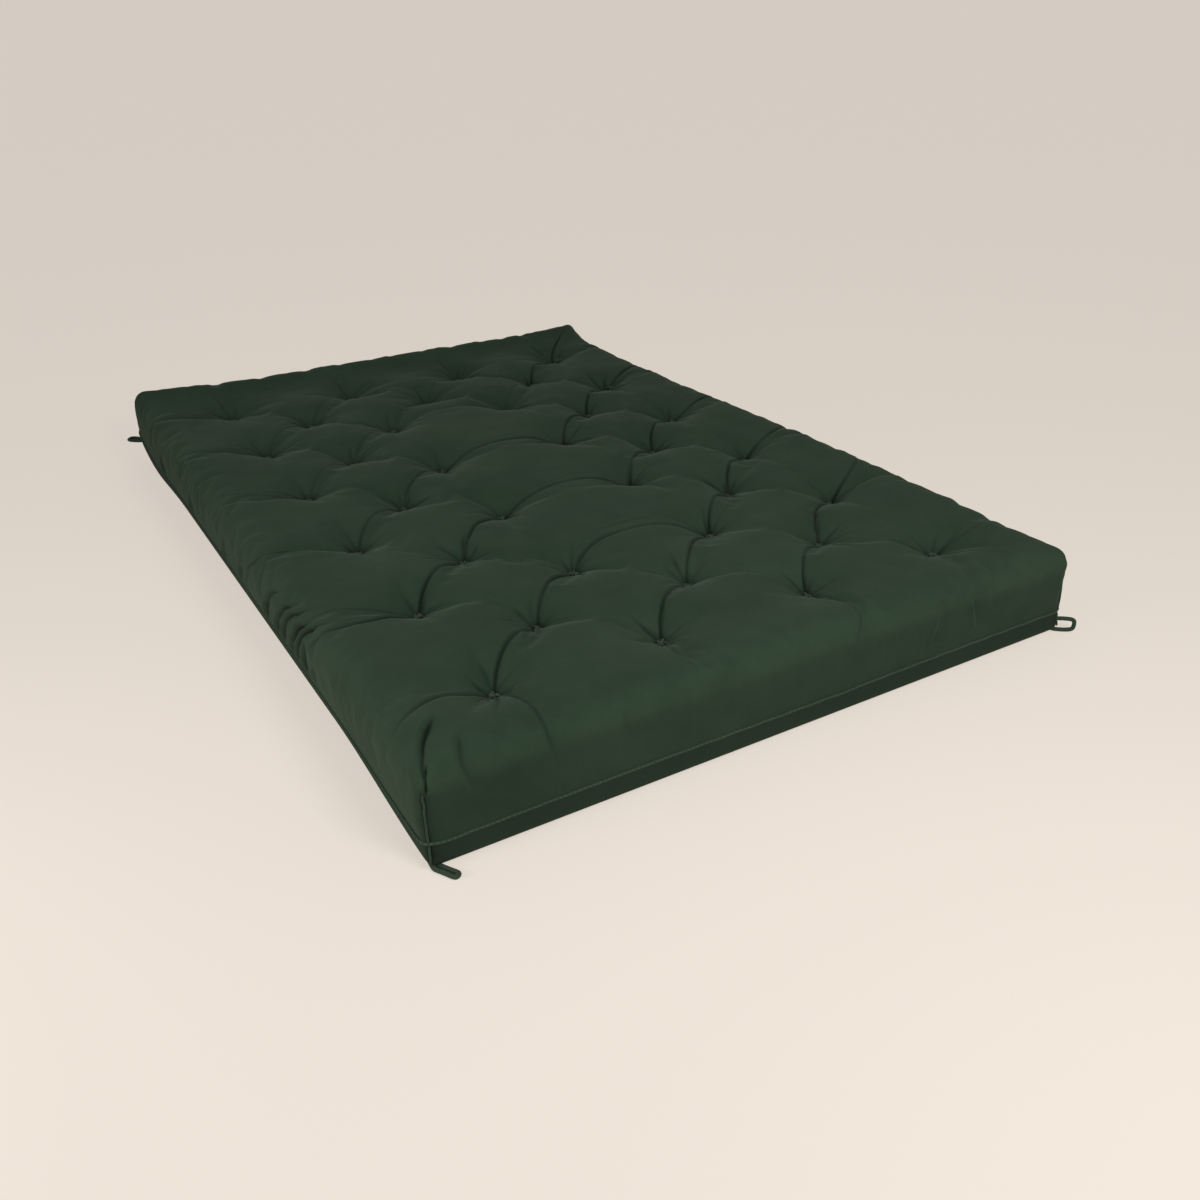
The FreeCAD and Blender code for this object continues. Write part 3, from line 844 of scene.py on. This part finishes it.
cover_cotton = cotton("cover cotton", (0.015, 0.031, 0.018), (0.026, 0.047, 0.029), sheen=0.07)
# the lower band is the cover's own cloth made darker and given less sheen: painted shade for the band that
# slopes in below the seam
band_cotton_painted_shade = cotton("band cotton painted shade", (0.013, 0.026, 0.016), (0.019, 0.034, 0.022), sheen=0.03)
seam_cotton = cotton("seam cotton", (0.017, 0.033, 0.020), (0.029, 0.050, 0.032), sheen=0.06, nap=0.6)
loop_cotton = cotton("loop cotton", (0.020, 0.036, 0.024), (0.034, 0.050, 0.036), sheen=0.08, nap=0.6)
thread_cotton = spun("stitch thread", (0.035, 0.055, 0.038), (0.060, 0.085, 0.060), twist=260.0)
yarn_cotton = spun("tuft yarn", (0.017, 0.032, 0.021), (0.038, 0.062, 0.042), twist=320.0)
print(len(bpy.data.materials), "materials")


# %% [markdown]
# ## The two panels
# A domed top panel carries the sides down to the seam; a shallow bottom panel comes up to meet it.

# %% Top and bottom panel
top_levels, bottom_levels = ((2, 1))
top_panel = shaped_panel("cover_top", 0, top_levels)
bottom_panel = shaped_panel("cover_bottom", 1, bottom_levels)
cover_top = add_piece("cover_top", top_panel, cover_cotton, "cover_fabric",
                      "cover_top_panel", "upper_batt_1", "upper_batt_2", "upper_batt_3")
cover_bottom = add_piece("cover_bottom", bottom_panel, band_cotton_painted_shade, "cover_fabric",
                         "cover_bottom_panel", "lower_batt_1", "lower_batt_2", "lower_batt_3", "foam_core")


# %% [markdown]
# ## The side seam
# Where the panels meet, their edges are turned in and felled, which leaves a narrow raised band with a
# row of stitches. It follows the open edge of the top panel.

# %% Ridge and stitches
RIDGE_OUT = 0.4 * MM  # how far the ridge's middle stands out from the cover's edge
RIDGE_RADIUS = 3 * MM
STITCH_STEP = 9 * MM
STITCH_LENGTH = 5.5 * MM
STITCH_RADIUS = 0.7 * MM
STITCH_OUT = 2.6 * MM  # how far out the middle of a stitch lies
STITCH_DIVE = 0.8 * MM  # and how much further in its two ends
STITCH_UP = 1.3 * MM  # the stitches run along the upper half of the ridge


def open_edge(mesh):
    """Points and outward directions round the panel's open edge, in order."""
    bm = bmesh.new()
    bm.from_mesh(mesh)
    edges = {edge for edge in bm.edges if edge.is_boundary}
    vertex = min((v for edge in edges for v in edge.verts), key=lambda v: (v.co.y, v.co.x))
    ring = []
    while edges:
        edge = next((e for e in vertex.link_edges if e in edges), None)
        if edge is None:
            break
        edges.discard(edge)
        ring.append((vertex.co.copy(), vertex.normal.copy()))
        vertex = edge.other_vert(vertex)
    bm.free()
    return ring


def round_curve(name, radius, sides):
    """A curve without lines that gives each line it gets a round section."""
    curve = bpy.data.curves.new(name, "CURVE")
    curve.dimensions = "3D"
    curve.bevel_depth = radius
    curve.bevel_resolution = sides
    curve.use_fill_caps = True
    return curve


def add_line(curve, kind, line):
    spline = curve.splines.new(kind)
    spline.points.add(len(line) - 1)
    for point, place in zip(spline.points, line):
        point.co = (*place, 1)
    return spline


def tubes(name, lines, radius, sides, closed=False):
    """A mesh of round tubes along lines of points."""
    curve = round_curve(name, radius, sides)
    curve.use_fill_caps = not closed
    for line in lines:
        spline = add_line(curve, "POLY", line)
        spline.use_cyclic_u = closed
        spline.use_smooth = True
    mesh = final_mesh(linked(name, curve))
    mesh.name = name
    return mesh


edge_ring = open_edge(top_panel)
turn_out = 1 if edge_ring[0][1].y < 0 else -1
outward = [normal * turn_out for place, normal in edge_ring]
ridge_line = []
for index, (place, normal) in enumerate(edge_ring):
    # the sewing wanders a millimetre or two up and down
    lift = 0.5 * math.sin(index * 0.31) * math.sin(index * 0.013) + 1.6 * math.sin(index * 0.017)
    ridge_line.append(place + outward[index] * RIDGE_OUT + Vector((0, 0, lift * MM)))
ridge = tubes("side_seam_ridge", [ridge_line], RIDGE_RADIUS, sides=2, closed=True)
add_piece("side_seam_ridge", ridge, seam_cotton, "seam_fabric", "side_seam")

stitch_lines = []
walked, due = 0.0, 0.0
for index in range(len(ridge_line) - 1):
    here, there = ridge_line[index], ridge_line[index + 1]
    span = (there - here).length
    while due < walked + span:
        middle = here.lerp(there, (due - walked) / span) + outward[index] * STITCH_OUT
        middle += Vector((0, 0, STITCH_UP))
        half = (there - here).normalized() * STITCH_LENGTH / 2
        dive = outward[index] * STITCH_DIVE
        stitch_lines.append([middle - half - dive, middle, middle + half - dive])
        due += STITCH_STEP
    walked += span
stitches = tubes("side_seam_stitches", stitch_lines, STITCH_RADIUS, sides=1)
add_piece("side_seam_stitches", stitches, thread_cotton, "seam_fabric")
print(f"seam is {walked:.2f} m long with {len(stitch_lines)} stitches")


# %% [markdown]
# ## Corner seams
# A short seam draws each corner of both panels together. It lies at the bottom of a valley, so only a
# thin ridge shows.

# %% Ridges in the corner valleys
CORNER_OUT = 1.6 * MM  # how far a corner ridge stands out of its valley, along each axis
ENDS_IN = (1 * MM, 3 * MM)  # how far its last two points dive back in
CORNER_RIDGE_RADIUS = 2 * MM
CORNER_FROM = (0.55, 0.85)  # in plan, all points further out than this belong to a corner


def corner_lines(mesh, low, high):
    """The line of points up each corner between two heights above the flat floor."""
    points = get_points(mesh)
    arc = get_values(mesh, "corner_arc")
    lines = []
    for side in (-1, 1):
        for end in (-1, 1):
            inside = (points[:, 0] * side > CORNER_FROM[0]) & (points[:, 1] * end > CORNER_FROM[1])
            column = points[inside & (np.abs(arc) < 0.05 * MM)]
            column = column[np.argsort(column[:, 2])]
            lift = column[:, 2] - column[0, 2]
            kept = column[(lift >= low) & (lift <= high)]
            out = Vector((side, end, 0))
            line = [Vector(place) + out * CORNER_OUT for place in kept]
            line[-2] -= out * ENDS_IN[0]
            line[-1] -= out * ENDS_IN[1]
            lines.append(line)
    return lines


upper_lines = corner_lines(top_panel, 2 * MM, height - seam_height - 44 * MM)
lower_lines = corner_lines(bottom_panel, 12 * MM, seam_height)
corner_mesh = tubes("corner_seam_ridges", upper_lines + lower_lines, CORNER_RIDGE_RADIUS, sides=2)
add_piece("corner_seam_ridges", corner_mesh, seam_cotton, "seam_fabric", "corner_seams")


# %% [markdown]
# ## Yarn tufts
# Each tuft is a hank of doubled yarn knotted on the twine, so a few short curled ends stand up round a
# knot. On the underside the same knot lies in a shallow recess.

# %% Tufts on both faces
YARN_ENDS = 6
YARN_POINTS = 7  # points along each end
KNOT_RADIUS = 3.4 * MM
CLEAR = 0.05  # rays start this far above and below the mattress


def ray_tree(mesh):
    return BVHTree.FromPolygons([v.co for v in mesh.vertices], [p.vertices for p in mesh.polygons])


def bent_place(x, y, z):
    """Where a place in the flat mattress lies once the back end is curled."""
    return Vector(curled(np.array([[x, y, z]]))[0])


def yarn_tuft(rng, foot, up, tall):
    """The lines of one tuft: curled ends and a knot of two rings, standing on foot."""
    spin = Vector((0, 0, 1)).rotation_difference(up)
    lines = []
    for end in range(YARN_ENDS):
        angle = 2 * math.pi * (end + rng.uniform(-0.3, 0.3)) / YARN_ENDS
        reach = rng.uniform(9, 16) * MM
        curl = rng.uniform(-1.6, 1.6)
        line = []
        for share in np.linspace(0, 1, YARN_POINTS):
            turn = angle + curl * share
            run = reach * share
            rise = tall * (0.35 + 0.65 * math.sin(math.pi * min(share * 1.15, 1)))
            line.append(foot + spin @ Vector((math.cos(turn) * run, math.sin(turn) * run, rise)))
        lines.append(line)
    for ring in (0, 1):
        tilt = Euler((rng.uniform(-0.6, 0.6), rng.uniform(-0.6, 0.6), 0)).to_matrix()
        level = tall * (0.45 + 0.2 * ring)
        line = []
        for angle in np.linspace(0, 2 * math.pi, 10):
            place = Vector((math.cos(angle) * KNOT_RADIUS, math.sin(angle) * KNOT_RADIUS, level))
            line.append(foot + spin @ (tilt @ place))
        lines.append(line)
    return lines


top_tree = ray_tree(top_panel)
under_tree = ray_tree(bottom_panel)
rng = np.random.default_rng(23)
top_yarn, under_yarn = [], []
for tuft in tufts.values():
    turn = max(tuft.y - bend_place, 0) / CURL_RADIUS
    up = Vector((0, -math.sin(turn), math.cos(turn)))
    place = top_tree.ray_cast(bent_place(tuft.x, tuft.y, height + CLEAR), -up)[0]
    top_yarn += yarn_tuft(rng, place - up * 0.5 * MM, up, 10 * MM)
    place = under_tree.ray_cast(bent_place(tuft.x, tuft.y, -CLEAR), up)[0]
    under_yarn += yarn_tuft(rng, place + up * 1 * MM, -up, 6 * MM)
top_tuft_mesh = tubes("yarn_tufts_top", top_yarn, 1.6 * MM, sides=1)
under_tuft_mesh = tubes("yarn_tufts_under", under_yarn, 1.3 * MM, sides=1)
add_piece("yarn_tufts_top", top_tuft_mesh, yarn_cotton, "tuft_yarn", "top_tufts")
add_piece("yarn_tufts_under", under_tuft_mesh, yarn_cotton, "tuft_yarn", "bottom_tufts")

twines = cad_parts["tuft_twines"]
twines.data.materials.clear()
twines.data.materials.append(yarn_cotton)


# %% [markdown]
# ## Corner loops
# A narrow tube of the cover's cloth is turned inside out, bent double and caught in the foot of each
# corner seam. The front left one lies flat with its sides together; the front right one stands open.

# %% Loops
LOOP_RADIUS = 4.25 * MM  # of the tube itself
FLAT_GAP = 12.2 * MM  # half the room between the arms of a loop that lies flat
FROM_TIP = (44, 30, 16, 5, 0)  # places along each arm, in millimetres back from the tip
ROOT_IN = (18 * MM, 8 * MM)  # how far inside the corner the loop is caught, across and along
ROOT_UP = 5 * MM
ROOT_GAP = 2 * MM

# each loop's heading in degrees, whether it stands up, and how wide it is at the places along its arms
LOOPS = {
    "front_left_loop": (-60, False, (0.42, 0.40, 0.40, 0.44, 0.30)),
    "front_right_loop": (-38, True, (0.95, 1.05, 1.05, 0.95, 0.60)),
    "back_left_loop": (135, False, (0.5, 0.8, 0.9, 0.85, 0.5)),
    "back_right_loop": (45, False, (0.5, 0.8, 0.9, 0.85, 0.5)),
}


def loop_mesh(name, turn, upright, spread):
    """A bent tube from inside the corner out to the place of the frame's loop and back."""
    out = Vector((math.cos(math.radians(turn)), math.sin(math.radians(turn)), 0))
    along = get_points(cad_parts[name].data) @ np.array(out)
    low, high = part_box(name)
    middle = (low + high) / 2
    across = Vector((0, 0, 1)) if upright else Vector((-out.y, out.x, 0))
    gap = (high.z - low.z) / 2 - LOOP_RADIUS if upright else FLAT_GAP
    tip = along.max() - LOOP_RADIUS
    centre = middle - out * middle.dot(out)
    root = centre + out * along.min()
    root.x -= math.copysign(ROOT_IN[0], middle.x)
    root.y -= math.copysign(ROOT_IN[1], middle.y)
    root.z = middle.z + ROOT_UP
    arms = []
    for side in (1, -1):
        arm = [root + across * side * ROOT_GAP]
        for back, wide in zip(FROM_TIP, spread):
            arm.append(centre + out * (tip - back * MM) + across * side * gap * wide)
        arms.append(arm)
    curve = round_curve(name, LOOP_RADIUS, sides=4)
    curve.resolution_u = 6
    spline = add_line(curve, "NURBS", arms[0] + arms[1][::-1])
    spline.use_endpoint_u = True
    spline.order_u = 3
    mesh = final_mesh(linked(name, curve))
    for face in mesh.polygons:
        face.use_smooth = True
    return mesh


for name, (turn, upright, spread) in LOOPS.items():
    add_piece(name + "_tube", loop_mesh(name, turn, upright, spread), loop_cotton, "cover_fabric", name)


# %% [markdown]
# ## Setting
# The floor is plain and pale and runs out of sight. A broad soft light stands in front, a weaker one
# to the left, and an even pale light comes from all round.

# %% Floor and light
FLOOR = (0.74, 0.675, 0.61)
BACKDROP = (0.84, 0.765, 0.69)
AROUND = 0.33  # how bright the even light from all round is
GLOW = 0.7  # how much of the floor's look comes from its own colour, without shading
FLOOR_REACH = 300  # metres from the middle to each edge of the floor

floor_mesh = bpy.data.meshes.new("floor")
bm = bmesh.new()
bmesh.ops.create_grid(bm, x_segments=1, y_segments=1, size=FLOOR_REACH)
bmesh.ops.translate(bm, verts=bm.verts, vec=(0, 0, -0.5 * MM))
bm.to_mesh(floor_mesh)
bm.free()
floor = linked("floor", floor_mesh)
floor_material, tree = new_material("floor")
matt = tree.node("ShaderNodeBsdfDiffuse", None, {"Color": (*FLOOR, 1)})
glow = tree.node("ShaderNodeEmission", None, {"Color": (*BACKDROP, 1), "Strength": 1.0})
seen = tree.node("ShaderNodeLightPath")
surface = tree.node("ShaderNodeMixShader", None, {0: seen * GLOW, 1: matt, 2: glow})
tree.node("ShaderNodeOutputMaterial", None, {"Surface": surface})
floor_mesh.materials.append(floor_material)

# camera, glossy and transmitted rays see the far floor's colour; the cloth is lit by the even light
world = bpy.data.worlds.new("studio")
bpy.context.scene.world = world
world.use_nodes = True
world.node_tree.nodes.clear()
tree = Value(world.node_tree)
seen = tree.node("ShaderNodeLightPath") + tree.node("ShaderNodeLightPath", None, None, output=3)
seen = seen + tree.node("ShaderNodeLightPath", None, None, output=6)
around = tree.node("ShaderNodeBackground", None, {"Color": (1.0, 0.97, 0.94, 1), "Strength": AROUND})
far = [GLOW * own + (1 - GLOW) * AROUND * lit for own, lit in zip(BACKDROP, FLOOR)]
behind = tree.node("ShaderNodeBackground", None, {"Color": (*far, 1), "Strength": 1.0})
sky = tree.node("ShaderNodeMixShader", None, {0: seen, 1: around, 2: behind})
tree.node("ShaderNodeOutputWorld", None, {"Surface": sky})


def soft_light(name, place, target, size, power):
    """A round lamp that looks from a place at a target."""
    light = bpy.data.lights.new(name, "AREA")
    light.shape = "DISK"
    light.size = size
    light.energy = power
    light.color = (1.0, 0.97, 0.93)
    lamp = linked(name, light)
    lamp.location = place
    lamp.rotation_euler = (Vector(target) - Vector(place)).to_track_quat("-Z", "Y").to_euler()


soft_light("key", (-0.1, -2.5, 1.7), (0.0, -0.6, 0.1), size=1.0, power=44)
soft_light("side", (-2.3, -0.9, 0.7), (-0.7, -0.4, 0.1), size=0.8, power=19)


# %% [markdown]
# ## Camera
# The camera stands off the front left corner at about shoulder height and looks down the length.

# %% Camera
EYE = Vector((-1.145, -2.254, 1.172))
AIM = Vector((0.452, 0.755, -0.475)).normalized()
LEVEL = Vector((0.857, -0.516, -0.005))  # the direction that runs level to the right of the view
LENS = 34.3  # millimetres
SENSOR = 36

camera = bpy.data.cameras.new("camera")
camera.lens = LENS
camera.sensor_width = SENSOR
camera.clip_start = 0.01
camera.clip_end = 1000
camera_object = linked("camera", camera)
right = (LEVEL - AIM * LEVEL.dot(AIM)).normalized()
up = right.cross(AIM)
turned = Matrix((right, up, -AIM)).transposed()
camera_object.matrix_world = Matrix.Translation(EYE) @ turned.to_4x4()
bpy.context.scene.camera = camera_object
bpy.context.scene.view_settings.view_transform = "Standard"
